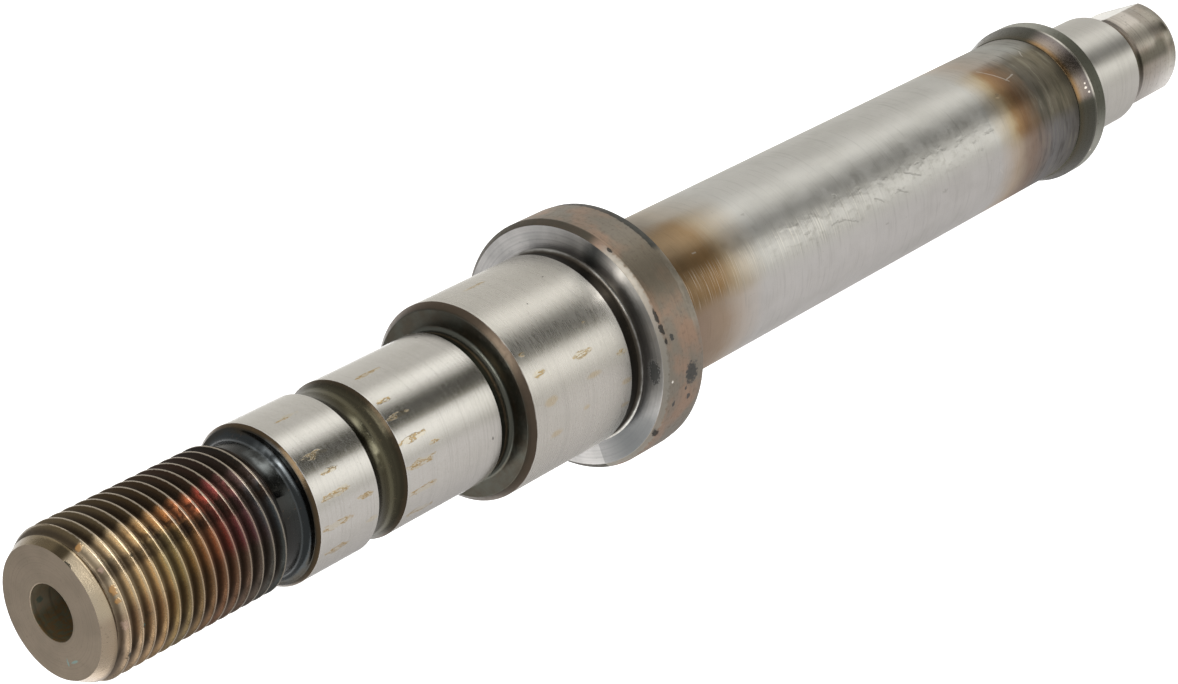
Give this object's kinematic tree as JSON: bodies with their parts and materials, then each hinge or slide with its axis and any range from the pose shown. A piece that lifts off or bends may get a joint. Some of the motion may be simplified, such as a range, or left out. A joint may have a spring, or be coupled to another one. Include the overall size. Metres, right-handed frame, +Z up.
{
  "type": "pump shaft",
  "caption": "Turned and ground steel pump shaft with a fine-threaded, drilled end, hub and bearing seats, a big and a small collar, a ground journal and a drive end with flats.",
  "frame": {"origin": "on the ground, on the shaft's axis, at the middle of the drive end's far face", "axes": "+Z up along the shaft from the drive end, on which it stands, to the threaded end; the two drive flats face -Y and +Y"},
  "size_m": [0.0284, 0.0284, 0.1944],
  "materials": {
    "steel": "ground seats and shank with fine rings; turned and heat-tinted thread, collars and shank ends"
  },
  "bodies": {
    "root": {"pump_shaft": "steel"}
  },
  "joints": []
}
